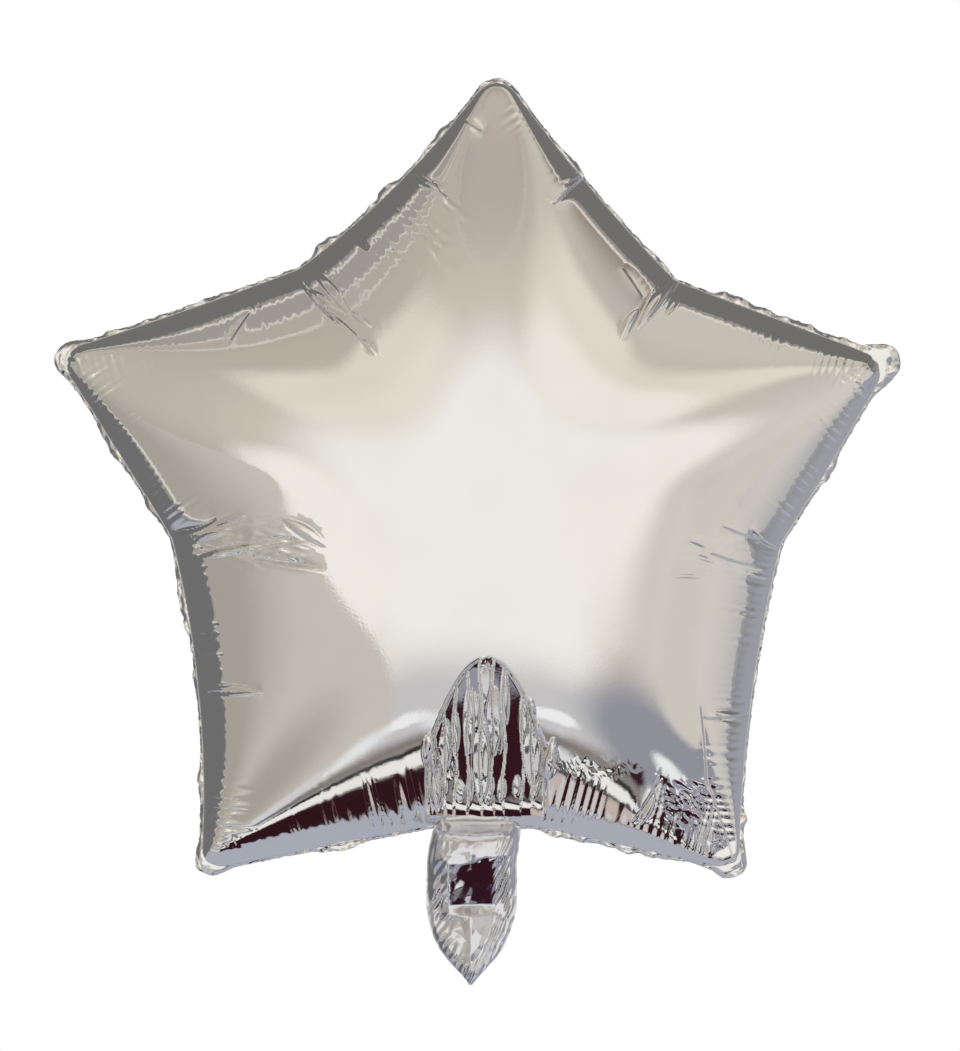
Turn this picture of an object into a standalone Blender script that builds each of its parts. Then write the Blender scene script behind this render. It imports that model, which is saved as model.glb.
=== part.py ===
"""Inflated star foil balloon, floating upright with its filling neck hanging down.

Two metallised-film panels are heat sealed to each other along a narrow flat
border, and the sealed border turns down into a short leaf-shaped filling neck
of two plies with a film valve between them. The neck folds at its root.

Frame: origin at the centre of the star, +Z towards the top tip, the front
panel faces -Y. All sizes are in metres.
"""

import math

import bmesh
import bpy
from mathutils import Vector

# Star outline where the two panels meet, clockwise from the top as seen from
# the front. Columns: corner, x, z, corner radius, how far the middle of the
# edge that follows is drawn inwards, kind of corner.
CORNERS = [
    ("top tip", 0.0091, 0.2355, 0.013, 0.0030, "tip"),
    ("upper right valley", 0.1032, 0.1228, 0.007, 0.0000, "valley"),
    ("right tip", 0.2155, 0.0805, 0.013, -0.0010, "tip"),
    ("right valley", 0.1583, -0.0153, 0.007, 0.0050, "valley"),
    ("lower right tip", 0.1363, -0.1867, 0.010, 0.0000, "tip"),
    ("neck right", 0.0269, -0.1600, 0.006, -0.0020, "neck"),
    ("neck left", -0.0239, -0.1600, 0.006, 0.0000, "neck"),
    ("lower left tip", -0.1459, -0.1867, 0.010, 0.0070, "tip"),
    ("left valley", -0.1613, -0.0118, 0.007, 0.0000, "valley"),
    ("left tip", -0.2220, 0.0849, 0.012, 0.0010, "tip"),
    ("upper left valley", -0.0960, 0.1285, 0.007, 0.0080, "valley"),
]
NECK_EDGE = 5
ARC_STEPS = 3
EDGE_STEPS = 6

# Inflated panel. Its rings are copies of the outline, scaled by these shares.
PANEL_WALL = 0.0016
PANEL_RINGS = [0.32, 0.53, 0.69, 0.81, 0.89, 0.94, 0.975, 0.992, 1.0]
# Each side swells from the seam like a tube, steeper than 45 degrees up to
# SWELL_REACH. The powers say how fast it flattens further in, for the sides
# that follow the top tip, the right tip and so on, clockwise.
SWELL_REACH = 0.0100
SIDE_POWERS = (0.55, 0.55, 0.70, 0.55, 0.55)
# The middle is a shallow cap, and each arm has a back that slopes from the cap
# to its tip. Where these and the sides meet, the lowest wins, softly.
SOFT_POWER = 13.0
CAP_HEIGHT = 0.0670
CAP_FALL = 0.95
CAP_LEAST = 0.02
CROWN_REACH = 0.060
ARM_LEAST = 0.010
# Columns: arm, x and z where its back leaves the cap, x and z that it runs
# towards, height where it leaves, slope at both ends, how much steeper it is
# half way, crown across it.
ARMS = [
    ("top arm", 0.0052, 0.0754, 0.0094, 0.2236, 0.060, 0.29, 0.07, 1.6),
    ("right arm", 0.0837, 0.0312, 0.2137, 0.0801, 0.060, 0.30, 0.06, 1.6),
    ("lower right arm", 0.0577, -0.0728, 0.1357, -0.1856, 0.060, 0.20, 0.25, 3.4),
    ("lower left arm", -0.0489, -0.0650, -0.1425, -0.1856, 0.060, 0.27, 0.06, 3.4),
    ("left arm", -0.0801, 0.0312, -0.2168, 0.0848, 0.060, 0.30, 0.06, 1.6),
]

# Sealed border between the panels: narrow along the sides, with an ear round
# each tip
BORDER_THICKNESS = 0.0008
BORDER_INSIDE = 0.004
BORDER_OUTSIDE = 0.0024
EAR_OUTSIDE = 0.0090
EAR_REACH = 0.018
CLEARANCE = 0.0003

# Filling neck: it hangs from a fold line along X at its root
NECK_X = -0.004
HINGE_Z = -0.1645
PLY_WALL = 0.0008
# The top row of a ply is thinner, so that it clears the star when it folds.
TOP_WALL_SHARE = 0.4
# Columns: distance below the fold line, half width, ridge height of the front
# ply, and crown height of the back ply.
NECK_ROWS = [
    (-0.0011, 0.0200, 0.0000, 0.0000),
    (0.0000, 0.0215, 0.0006, 0.0002),
    (0.0030, 0.0229, 0.0060, 0.0008),
    (0.0080, 0.0231, 0.0115, 0.0014),
    (0.0125, 0.0231, 0.0135, 0.0020),
    (0.0200, 0.0235, 0.0105, 0.0024),
    (0.0357, 0.0242, 0.0042, 0.0024),
    (0.0430, 0.0231, 0.0019, 0.0024),
    (0.0520, 0.0205, 0.0022, 0.0024),
    (0.0600, 0.0170, 0.0030, 0.0016),
    (0.0660, 0.0130, 0.0026, 0.0012),
    (0.0715, 0.0083, 0.0020, 0.0010),
    (0.0765, 0.0034, 0.0010, 0.0004),
    (0.0790, 0.0012, 0.0004, 0.0002),
]
FRONT_COLUMN = 2
BACK_COLUMN = 3
# Sections across the two plies, from the side weld to the middle. Columns:
# share of the half width, share of the height in the middle.
FRONT_SECTION = [(1.0, 0.0), (0.90, 0.22), (0.76, 0.60), (0.50, 0.90), (0.0, 1.0)]
BACK_SECTION = [(1.0, 0.0), (0.88, 0.0), (0.31, 1.0), (0.0, 1.0)]

# Film valve
FILM_THICKNESS = 0.0004
FILM_WIDTH = 0.026
FILM_LENGTH = 0.064
FILM_TAPER = 0.6
FILM_TOP = 0.0007

SMOOTH_ANGLE = 40

# Colours: base colour, metallic and roughness
FOIL_FRONT = ((0.86, 0.84, 0.80, 1.0), 1.0, 0.10)
FOIL_BACK = ((0.80, 0.79, 0.78, 1.0), 1.0, 0.12)
FOIL_BORDER = ((0.72, 0.71, 0.70, 1.0), 1.0, 0.22)
FOIL_NECK = ((0.78, 0.77, 0.76, 1.0), 1.0, 0.16)
CLEAR_FILM = ((0.80, 0.82, 0.84, 1.0), 0.0, 0.20)


def clear_scene():
    for old in list(bpy.data.objects):
        bpy.data.objects.remove(old)


def make_material(name, look):
    """Principled material from a base colour, metallic value and roughness."""
    colour, metallic, roughness = look
    material = bpy.data.materials.new(name)
    material.use_nodes = True
    shader = material.node_tree.nodes["Principled BSDF"]
    shader.inputs["Base Color"].default_value = colour
    shader.inputs["Metallic"].default_value = metallic
    shader.inputs["Roughness"].default_value = roughness
    return material


def add_object(name, bm, material):
    """Turn a closed bmesh into a named object with outward faces."""
    bmesh.ops.recalc_face_normals(bm, faces=bm.faces)
    mesh = bpy.data.meshes.new(name)
    bm.to_mesh(mesh)
    bm.free()
    mesh.shade_smooth()
    mesh.set_sharp_from_angle(angle=math.radians(SMOOTH_ANGLE))
    mesh.materials.append(material)
    part = bpy.data.objects.new(name, mesh)
    bpy.context.scene.collection.objects.link(part)
    return part


def corner_arc(before, corner, after, radius):
    """Points of the round corner between two edges that start straight."""
    back = (before - corner).normalized()
    ahead = (after - corner).normalized()
    half = back.angle(ahead) / 2
    centre = corner + (back + ahead).normalized() * (radius / math.sin(half))
    trim = radius / math.tan(half)
    start = corner + back * trim - centre
    end = corner + ahead * trim - centre
    points = []
    for step in range(ARC_STEPS + 1):
        spoke = start.lerp(end, step / ARC_STEPS)
        points.append(centre + spoke.normalized() * radius)
    return points, trim


def edge_curve(first, control, last, share):
    return first.lerp(control, share).lerp(control.lerp(last, share), share)


def star_outline():
    """Seam outline in the XZ plane, where each edge starts, and the middle of each tip."""
    sharp = [Vector(corner[1:3]) for corner in CORNERS]
    controls = []
    for index, here in enumerate(sharp):
        there = sharp[(index + 1) % len(sharp)]
        along = (there - here).normalized()
        outwards = Vector((-along.y, along.x))
        controls.append((here + there) / 2 - outwards * 2 * CORNERS[index][4])
    arcs = []
    trims = []
    for index, corner in enumerate(CORNERS):
        arc, trim = corner_arc(controls[index - 1], sharp[index], controls[index], corner[3])
        arcs.append(arc)
        trims.append(trim)
    points = []
    edge_starts = []
    tips = []
    for index, arc in enumerate(arcs):
        following = (index + 1) % len(arcs)
        length = (sharp[following] - sharp[index]).length
        first = trims[index] / length
        last = 1.0 - trims[following] / length
        if CORNERS[index][5] == "tip":
            tips.append(len(points) + ARC_STEPS // 2)
        points.extend(arc[:-1])
        edge_starts.append(len(points))
        for step in range(EDGE_STEPS):
            share = first + (last - first) * step / EDGE_STEPS
            points.append(edge_curve(sharp[index], controls[index], sharp[following], share))
    return points, edge_starts, tips


def outline_sides(outline, tips):
    """The five sides of the star, each from one tip round through the valley to the next."""
    sides = []
    for index, tip in enumerate(tips):
        end = tips[(index + 1) % len(tips)]
        if end < tip:
            end += len(outline)
        sides.append([outline[place % len(outline)] for place in range(tip, end + 1)])
    return sides


def distance_to_side(side, point):
    nearest = math.inf
    for first, last in zip(side, side[1:]):
        run = last - first
        share = min(max((point - first).dot(run) / run.length_squared, 0.0), 1.0)
        nearest = min(nearest, (point - first - run * share).length)
    return nearest


def arm_height(arm, point):
    """Height of one arm's back over a point of the seam plane."""
    _, x, z, tip_x, tip_z, height, slope, belly, crown = arm
    root = Vector((x, z))
    run = Vector((tip_x, tip_z)) - root
    length = run.length
    run.normalize()
    along = (point - root).dot(run)
    aside = ((point - root).dot(Vector((-run.y, run.x))) / CROWN_REACH) ** 2
    fall = crown * CROWN_REACH ** 2 * aside / (1.0 + aside)
    turn = math.pi * min(max(along / length, 0.0), 1.0)
    drop = slope * along + belly * length / math.pi * (1.0 - math.cos(turn))
    return max(height - drop - fall, ARM_LEAST)


def swell(sides, point):
    """Height of the inflated panel over a point of the seam plane."""
    heights = [max(CAP_HEIGHT - CAP_FALL * point.length_squared, CAP_LEAST)]
    for arm in ARMS:
        heights.append(arm_height(arm, point))
    for side, power in zip(sides, SIDE_POWERS):
        depth = distance_to_side(side, point)
        if depth == 0.0:
            return 0.0
        heights.append(SWELL_REACH / power * (depth / SWELL_REACH) ** power)
    total = sum(height ** -SOFT_POWER for height in heights)
    return total ** (-1.0 / SOFT_POWER)


def panel_skin(bm, outline, sides, side, seam_y, inset):
    """One skin of a panel: a centre point and rings out to the seam."""
    peak = swell(sides, Vector((0.0, 0.0))) - inset
    centre = bm.verts.new((0.0, side * (seam_y + peak), 0.0))
    rings = []
    for share in PANEL_RINGS:
        ring = []
        for point in outline:
            flat = point * (share * (point.length - inset) / point.length)
            height = 0.0
            if share < 1.0:
                height = swell(sides, point * share) - inset
            ring.append(bm.verts.new((flat.x, side * (seam_y + height), flat.y)))
        rings.append(ring)
    count = len(outline)
    for index in range(count):
        following = (index + 1) % count
        bm.faces.new((centre, rings[0][index], rings[0][following]))
        for inner, outer in zip(rings, rings[1:]):
            bm.faces.new((inner[index], outer[index], outer[following], inner[following]))
    return rings[-1]


def build_panel(name, side, outline, sides, material):
    """A thin domed panel: outer skin, inner skin and the rim between them."""
    seam_y = BORDER_THICKNESS / 2 + CLEARANCE
    bm = bmesh.new()
    outer_rim = panel_skin(bm, outline, sides, side, seam_y, 0.0)
    inner_rim = panel_skin(bm, outline, sides, side, seam_y, PANEL_WALL)
    for index in range(len(outline)):
        following = (index + 1) % len(outline)
        corners = (outer_rim[index], inner_rim[index], inner_rim[following], outer_rim[following])
        bm.faces.new(corners)
    return add_object(name, bm, material)


def border_width(point):
    """How far the border stands out at a place on the outline: most round the tips."""
    width = BORDER_OUTSIDE
    for _, x, z, _, _, kind in CORNERS:
        if kind == "tip":
            away = (point - Vector((x, z))).length / EAR_REACH
            width += (EAR_OUTSIDE - BORDER_OUTSIDE) * math.exp(-away ** 2)
    return width


def build_border(outline, edge_starts, material):
    """Flat sealed strip round the star, open where the neck leaves it."""
    start = edge_starts[NECK_EDGE] + EDGE_STEPS + ARC_STEPS
    count = len(outline) - EDGE_STEPS - 2 * ARC_STEPS + 1
    bm = bmesh.new()
    sections = []
    for step in range(count):
        index = (start + step) % len(outline)
        point = outline[index]
        along = outline[(index + 1) % len(outline)] - outline[index - 1]
        outwards = Vector((-along.y, along.x)).normalized()
        inside = point - outwards * BORDER_INSIDE
        outside = point + outwards * border_width(point)
        section = []
        for place, y in (
            (inside, -BORDER_THICKNESS / 2),
            (outside, -BORDER_THICKNESS / 2),
            (outside, BORDER_THICKNESS / 2),
            (inside, BORDER_THICKNESS / 2),
        ):
            section.append(bm.verts.new((place.x, y, place.y)))
        sections.append(section)
    for first, second in zip(sections, sections[1:]):
        for side in range(4):
            other = (side + 1) % 4
            bm.faces.new((first[side], first[other], second[other], second[side]))
    bm.faces.new(sections[0])
    bm.faces.new(sections[-1])
    return add_object("seam_border", bm, material)


def ply_columns(half_width, ridge, section):
    """Places across one ply: x from its middle, and height over the weld."""
    left = [(-half_width * share, ridge * height) for share, height in section]
    right = [(-x, height) for x, height in reversed(left[:-1])]
    return left + right


def build_ply(name, side, ridge_column, section, material):
    """One leaf-shaped ply of the neck, hanging from the fold line."""
    inner_y = FILM_THICKNESS / 2 + CLEARANCE
    bm = bmesh.new()
    skins = []
    for wall in (0.0, PLY_WALL):
        rows = []
        for row in NECK_ROWS:
            below, half_width = row[0], row[1]
            lift = wall
            if below < 0:
                lift = wall * TOP_WALL_SHARE
            line = []
            for x, height in ply_columns(half_width, row[ridge_column], section):
                y = side * (inner_y + height + lift)
                line.append(bm.verts.new((x, y, -below)))
            rows.append(line)
        skins.append(rows)
    inner, outer = skins
    for rows in skins:
        for first, second in zip(rows, rows[1:]):
            for left in range(len(first) - 1):
                bm.faces.new((first[left], first[left + 1], second[left + 1], second[left]))
    for end in (0, -1):
        for left in range(len(inner[0]) - 1):
            edge = (inner[end][left], inner[end][left + 1], outer[end][left + 1], outer[end][left])
            bm.faces.new(edge)
    for upper in range(len(inner) - 1):
        for column in (0, -1):
            bm.faces.new((
                inner[upper][column],
                inner[upper + 1][column],
                outer[upper + 1][column],
                outer[upper][column],
            ))
    return add_object(name, bm, material)


def build_film(material):
    """Flat strip of the self-sealing valve between the two plies."""
    bm = bmesh.new()
    half_width = FILM_WIDTH / 2
    corners = [
        (-half_width, -FILM_TOP),
        (half_width, -FILM_TOP),
        (half_width * FILM_TAPER, -FILM_LENGTH),
        (-half_width * FILM_TAPER, -FILM_LENGTH),
    ]
    face = bm.faces.new([bm.verts.new((x, -FILM_THICKNESS / 2, z)) for x, z in corners])
    grown = bmesh.ops.extrude_face_region(bm, geom=[face])
    lifted = [item for item in grown["geom"] if isinstance(item, bmesh.types.BMVert)]
    bmesh.ops.translate(bm, verts=lifted, vec=(0.0, FILM_THICKNESS, 0.0))
    return add_object("valve_film", bm, material)


def main():
    clear_scene()
    outline, edge_starts, tips = star_outline()
    sides = outline_sides(outline, tips)
    build_panel("front_panel", -1, outline, sides, make_material("foil_front", FOIL_FRONT))
    build_panel("back_panel", 1, outline, sides, make_material("foil_back", FOIL_BACK))
    build_border(outline, edge_starts, make_material("foil_border", FOIL_BORDER))

    hinge = bpy.data.objects.new("neck_hinge", None)
    hinge.location = (NECK_X, 0.0, HINGE_Z)
    bpy.context.scene.collection.objects.link(hinge)
    neck_foil = make_material("foil_neck", FOIL_NECK)
    for part in (
        build_ply("neck_front_ply", -1, FRONT_COLUMN, FRONT_SECTION, neck_foil),
        build_ply("neck_back_ply", 1, BACK_COLUMN, BACK_SECTION, neck_foil),
        build_film(make_material("clear_film", CLEAR_FILM)),
    ):
        part.parent = hinge


main()
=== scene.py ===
import math

import bpy
import numpy as np
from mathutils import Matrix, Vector, noise
from mathutils.geometry import delaunay_2d_cdt


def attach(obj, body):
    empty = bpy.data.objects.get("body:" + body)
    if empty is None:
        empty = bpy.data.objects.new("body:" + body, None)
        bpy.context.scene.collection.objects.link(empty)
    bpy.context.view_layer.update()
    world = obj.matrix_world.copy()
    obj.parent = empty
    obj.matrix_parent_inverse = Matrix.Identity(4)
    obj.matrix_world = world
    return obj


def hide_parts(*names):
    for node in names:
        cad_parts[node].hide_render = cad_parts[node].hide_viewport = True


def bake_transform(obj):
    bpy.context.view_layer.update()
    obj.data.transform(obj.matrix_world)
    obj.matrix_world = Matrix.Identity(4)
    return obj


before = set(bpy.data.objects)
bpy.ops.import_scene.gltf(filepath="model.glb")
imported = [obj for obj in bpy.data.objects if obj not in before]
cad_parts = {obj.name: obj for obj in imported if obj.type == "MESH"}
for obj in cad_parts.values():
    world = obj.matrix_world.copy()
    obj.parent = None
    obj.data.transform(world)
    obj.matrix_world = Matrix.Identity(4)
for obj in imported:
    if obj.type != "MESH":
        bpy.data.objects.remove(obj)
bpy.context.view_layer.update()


# Camera: level with the middle of the star and square to it, far enough back for the flat look
# of a product picture. One picture pixel at the seam is PIXEL metres of the real balloon.
PICTURE_WIDTH = 960
PICTURE_HEIGHT = 1051
PIXEL = 0.00052
STAR_COLUMN = 479
STAR_ROW = 515
CAMERA_DISTANCE = 1.35
SENSOR_WIDTH = 36.0


def at_pixel(column, row):
    """Place on the seam plane, as x and z, that a picture pixel shows."""
    return np.array(((column - STAR_COLUMN) * PIXEL, (STAR_ROW - row) * PIXEL))


lens = bpy.data.cameras.new("camera")
lens.sensor_fit = "HORIZONTAL"
lens.sensor_width = SENSOR_WIDTH
lens.lens = SENSOR_WIDTH * CAMERA_DISTANCE / (PICTURE_WIDTH * PIXEL)
camera = bpy.data.objects.new("camera", lens)
aim = at_pixel(PICTURE_WIDTH / 2, PICTURE_HEIGHT / 2)
camera.location = (aim[0], -CAMERA_DISTANCE, aim[1])
camera.rotation_euler = (math.radians(90), 0.0, 0.0)
bpy.context.scene.collection.objects.link(camera)
bpy.context.scene.camera = camera


# Light tent: soft walls all round the balloon, which the mirror foil shows. A broad cream sheet
# hangs behind the camera, warm greys lie above and beside it, and dark cloth covers the ground
# in front. Behind the balloon hangs a paler sheet in grey walls. The camera sees plain white.
TENT_STRENGTH = 1.0
BACKDROP = (1.0, 1.0, 1.0)
TENT_START = (150, 147, 142)
# Each sheet is a round patch, laid over the ones before it. A seam is what shows of its patch
# round the panel that follows.
# Columns: sheet, direction of its middle, angle where it is full, angle where it ends, colour.
TENT_SHEETS = [
    ("high walls", (0.0, -0.35, 1.0), 20, 95, (194, 184, 173)),
    ("left wall", (-1.0, -0.5, 0.1), 15, 75, (194, 187, 177)),
    ("right wall", (1.0, -0.5, 0.2), 20, 75, (203, 197, 189)),
    ("dim edge", (0.0, 1.0, 0.0), 92, 128, (150, 143, 136)),
    ("mauve wall at the upper left", (-0.40, 0.05, 0.91), 12, 34, (150, 142, 138)),
    ("second seam at the upper left", (-0.55, 0.30, 0.78), 47.2, 47.9, (216, 209, 201)),
    ("second panel at the upper left", (-0.55, 0.30, 0.78), 45.9, 46.6, (186, 177, 169)),
    ("first seam at the upper left", (-0.55, 0.30, 0.78), 39.2, 40.0, (216, 210, 204)),
    ("first panel at the upper left", (-0.55, 0.30, 0.78), 37.8, 38.6, (168, 162, 159)),
    ("tan wall over the top", (0.0, -0.60, 0.80), 9, 18, (180, 169, 162)),
    ("seam over the top", (0.0, -0.60, 0.80), 12.6, 13.4, (194, 184, 176)),
    ("panel over the top", (0.0, -0.60, 0.80), 11.4, 12.2, (180, 169, 162)),
    ("tan wall at the upper right", (0.80, -0.05, 0.62), 10, 26, (146, 134, 125)),
    ("pale wall at the upper right", (0.40, -0.30, 0.86), 9, 26, (208, 203, 193)),
    ("low right wall", (1.0, -0.40, -0.30), 26, 50, (217, 213, 207)),
    ("warm sheet", (0.0, -1.0, 0.05), 32, 49, (212, 203, 193)),
    ("pale wall below", (0.02, -0.75, -0.66), 12, 24, (206, 205, 208)),
    ("cream sheet", (0.02, -1.0, 0.02), 23, 36, (249, 248, 244)),
    ("cream sheet at the left", (-0.48, -0.87, -0.14), 7, 15, (250, 247, 242)),
    ("cream sheet at the right", (0.46, -0.88, 0.02), 8, 18, (250, 247, 242)),
    ("cream sheet at the upper left", (-0.29, -0.85, 0.44), 4, 13, (238, 233, 222)),
    ("cream sheet at the upper right", (0.38, -0.76, 0.53), 5, 15, (230, 224, 212)),
    ("pale sheet at the upper left", (-0.38, -0.77, 0.52), 3, 10, (230, 224, 213)),
    ("pale sheet at the upper right", (0.51, -0.65, 0.57), 3, 11, (234, 228, 216)),
    ("pale sheet at the right", (0.33, -0.83, 0.45), 4, 11, (246, 243, 234)),
    ("grey wall at the lower right", (0.47, -0.61, -0.63), 15, 28, (152, 153, 165)),
    ("pale wall at the right", (0.78, -0.56, -0.30), 6, 12, (214, 210, 202)),
    ("small lamp at the right", (0.48, -0.57, -0.67), 2, 5, (247, 249, 251)),
    ("small lamp below", (0.00, -0.72, -0.695), 2, 4, (247, 249, 251)),
    ("low left wall", (-0.58, -0.50, -0.62), 32.8, 33.8, (206, 200, 192)),
    ("left leg wall", (-1.0, -0.15, -0.20), 14, 44, (174, 168, 161)),
    ("low left shade", (-0.50, -0.62, -0.60), 8, 22, (174, 169, 161)),
    ("pale edge", (0.0, 1.0, 0.0), 96.5, 97.5, (222, 218, 210)),
    ("shaded edge", (0.0, 1.0, 0.0), 94.0, 95.0, (158, 153, 148)),
    ("back walls", (0.0, 1.0, 0.0), 91, 92, (118, 117, 116)),
    ("back wall at the left", (-0.85, 0.40, -0.10), 33, 34.5, (116, 116, 118)),
    ("back right wall", (1.0, 0.7, -0.5), 20, 62, (162, 164, 174)),
    ("back sheet", (0.0, 1.0, 0.0), 14, 44, (212, 209, 205)),
    ("low back wall", (0.0, 0.80, -0.60), 18, 34, (168, 172, 186)),
]
# Bands of cloth and floor below, by the angle from the camera's side round under the balloon.
# Columns: band, angle where it starts, angle where it ends, softness, lowest and highest x of
# the directions it fills, colour.
GROUND_BANDS = [
    ("shade", 53, 60, 4.0, -0.12, 0.19, (132, 127, 123)),
    ("glow", 44, 52, 3.0, -0.12, -0.035, (238, 240, 244)),
    ("pale wall at the left", 47, 55, 1.5, -0.70, -0.12, (216, 216, 220)),
    ("shadow line", 59.5, 62.5, 0.8, -0.07, 0.19, (44, 40, 42)),
    ("white paper", 62.5, 70, 0.8, -0.07, 0.19, (244, 244, 242)),
    ("wine cloth", 71, 90, 1.0, -0.07, 0.19, (50, 22, 30)),
    ("wine cloth at the right", 53, 86, 1.2, 0.19, 0.44, (54, 24, 34)),
    ("grey line", 55, 59, 1.0, -0.70, -0.07, (120, 122, 132)),
    ("silver paper", 59, 66, 1.0, -0.70, -0.07, (226, 228, 232)),
    ("dark cloth", 66, 72, 1.0, -0.70, -0.07, (84, 84, 90)),
    ("rose paper", 72, 88, 1.0, -0.17, -0.07, (204, 188, 182)),
    ("silver cloth at the left", 71, 88, 1.0, -0.70, -0.17, (208, 206, 210)),
    ("pale floor", 89, 140, 1.0, -1.0, 1.0, (176, 180, 194)),
]
# How far down a direction has to point for the bands to begin there, and to be full.
GROUND_REACH = (0.50, 0.68)
BAND_SOFT_SIDE = 0.03


def linear(colour):
    """Scene-linear colour from the usual 0 to 255 values."""
    shares = [value / 255 for value in colour]
    return [s / 12.92 if s <= 0.04045 else ((s + 0.055) / 1.055) ** 2.4 for s in shares]


def math_node(tree, operation, first, second=None):
    """One Math node whose inputs are numbers or sockets."""
    node = tree.nodes.new("ShaderNodeMath")
    node.operation = operation
    for socket, value in zip(node.inputs, (first, second)):
        if isinstance(value, (int, float)):
            socket.default_value = value
        elif value is not None:
            tree.links.new(value, socket)
    return node.outputs[0]


def smooth_step(tree, value, low, high):
    """0 below low and 1 above high, with a soft change between them."""
    node = tree.nodes.new("ShaderNodeMapRange")
    node.interpolation_type = "SMOOTHSTEP"
    node.inputs["From Min"].default_value = min(low, high)
    node.inputs["From Max"].default_value = max(low, high)
    node.inputs["To Min"].default_value = 0.0 if low < high else 1.0
    node.inputs["To Max"].default_value = 1.0 if low < high else 0.0
    tree.links.new(value, node.inputs["Value"])
    return node.outputs["Result"]


def lay_over(tree, below, colour, mask):
    """Colour laid over what is below it, where the mask is 1."""
    node = tree.nodes.new("ShaderNodeMix")
    node.data_type = "RGBA"
    tree.links.new(mask, node.inputs["Factor"])
    tree.links.new(below, node.inputs["A"])
    node.inputs["B"].default_value = (*linear(colour), 1.0)
    return node.outputs["Result"]


world = bpy.data.worlds.new("light tent")
bpy.context.scene.world = world
world.use_nodes = True
tent = world.node_tree
direction = tent.nodes.new("ShaderNodeTexCoord").outputs["Generated"]
split = tent.nodes.new("ShaderNodeSeparateXYZ")
tent.links.new(direction, split.inputs[0])
first_wall = tent.nodes.new("ShaderNodeRGB")
first_wall.outputs[0].default_value = (*linear(TENT_START), 1.0)
light = first_wall.outputs[0]
for _, axis, full, end, colour in TENT_SHEETS:
    dot = tent.nodes.new("ShaderNodeVectorMath")
    dot.operation = "DOT_PRODUCT"
    tent.links.new(direction, dot.inputs[0])
    dot.inputs[1].default_value = Vector(axis).normalized()
    angle = math_node(tent, "ARCCOSINE", dot.outputs["Value"])
    mask = smooth_step(tent, angle, math.radians(end), math.radians(full))
    light = lay_over(tent, light, colour, mask)
down = math_node(tent, "MULTIPLY", split.outputs["Z"], -1.0)
ahead = math_node(tent, "MULTIPLY", split.outputs["Y"], -1.0)
under = math_node(tent, "ARCTAN2", down, ahead)
low = smooth_step(tent, down, *GROUND_REACH)
for _, first, last, soft, lowest, highest, colour in GROUND_BANDS:
    mask = low
    for value, begin, end, blur in (
        (under, math.radians(first), math.radians(last), math.radians(soft)),
        (split.outputs["X"], lowest, highest, BAND_SOFT_SIDE),
    ):
        after_begin = smooth_step(tent, value, begin - blur, begin + blur)
        before_end = smooth_step(tent, value, end + blur, end - blur)
        mask = math_node(tent, "MULTIPLY", mask, after_begin)
        mask = math_node(tent, "MULTIPLY", mask, before_end)
    light = lay_over(tent, light, colour, mask)
lamp = tent.nodes["Background"]
lamp.inputs["Strength"].default_value = TENT_STRENGTH
tent.links.new(light, lamp.inputs["Color"])
plain = tent.nodes.new("ShaderNodeBackground")
plain.inputs["Color"].default_value = (*BACKDROP, 1.0)
rays = tent.nodes.new("ShaderNodeLightPath")
choice = tent.nodes.new("ShaderNodeMixShader")
tent.links.new(rays.outputs["Is Camera Ray"], choice.inputs[0])
tent.links.new(lamp.outputs[0], choice.inputs[1])
tent.links.new(plain.outputs[0], choice.inputs[2])
tent.links.new(choice.outputs[0], tent.nodes["World Output"].inputs["Surface"])
bpy.context.scene.view_settings.view_transform = "Standard"


# Floor: a plain pale disc well below the balloon, which hangs in the air over it. The foil
# doesn't mirror it, because the tent has a ground of its own.
FLOOR_HEIGHT = -0.75
FLOOR_RADIUS = 1.2
FLOOR_SIDES = 96
FLOOR_COLOUR = (0.82, 0.82, 0.81)
FLOOR_ROUGHNESS = 0.7
floor_mesh = bpy.data.meshes.new("floor")
turns = [2 * math.pi * side / FLOOR_SIDES for side in range(FLOOR_SIDES)]
rim = [(FLOOR_RADIUS * math.cos(t), FLOOR_RADIUS * math.sin(t), FLOOR_HEIGHT) for t in turns]
floor_mesh.from_pydata(rim, [], [list(range(FLOOR_SIDES))])
floor = bpy.data.objects.new("floor", floor_mesh)
bpy.context.scene.collection.objects.link(floor)
floor_paint = bpy.data.materials.new("pale floor")
floor_paint.use_nodes = True
paint = floor_paint.node_tree.nodes["Principled BSDF"]
paint.inputs["Base Color"].default_value = (*FLOOR_COLOUR, 1.0)
paint.inputs["Roughness"].default_value = FLOOR_ROUGHNESS
floor_mesh.materials.append(floor_paint)
floor.visible_glossy = False


# Front panel: a star die-cut from thin metallised film and heat sealed to its twin all round.
# The gas domes it, so its edge is drawn in and puckers: short pinches run in from the seal,
# long folds fan out of the valleys, and the film gathers into upright folds over the neck.

# Star outline, clockwise from the top. Columns: corner, x, z, radius, inward waist of the edge
# that follows, kind of corner.
CORNERS = [
    ("top tip", 0.0091, 0.2355, 0.013, 0.003, "tip"),
    ("upper right valley", 0.1032, 0.1228, 0.007, 0.000, "valley"),
    ("right tip", 0.2155, 0.0805, 0.013, -0.001, "tip"),
    ("right valley", 0.1583, -0.0153, 0.007, 0.005, "valley"),
    ("lower right tip", 0.1363, -0.1867, 0.010, 0.000, "tip"),
    ("neck right", 0.0269, -0.1632, 0.006, -0.0012, "neck"),
    ("neck left", -0.0239, -0.1632, 0.006, 0.000, "neck"),
    ("lower left tip", -0.1459, -0.1867, 0.010, 0.007, "tip"),
    ("left valley", -0.1613, -0.0118, 0.007, 0.000, "valley"),
    ("left tip", -0.2220, 0.0849, 0.012, 0.001, "tip"),
    ("upper left valley", -0.0945, 0.1290, 0.005, 0.006, "valley"),
]
# Spacing of the points along the outline's arcs and edges.
RIM_STEP = 0.0015


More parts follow.
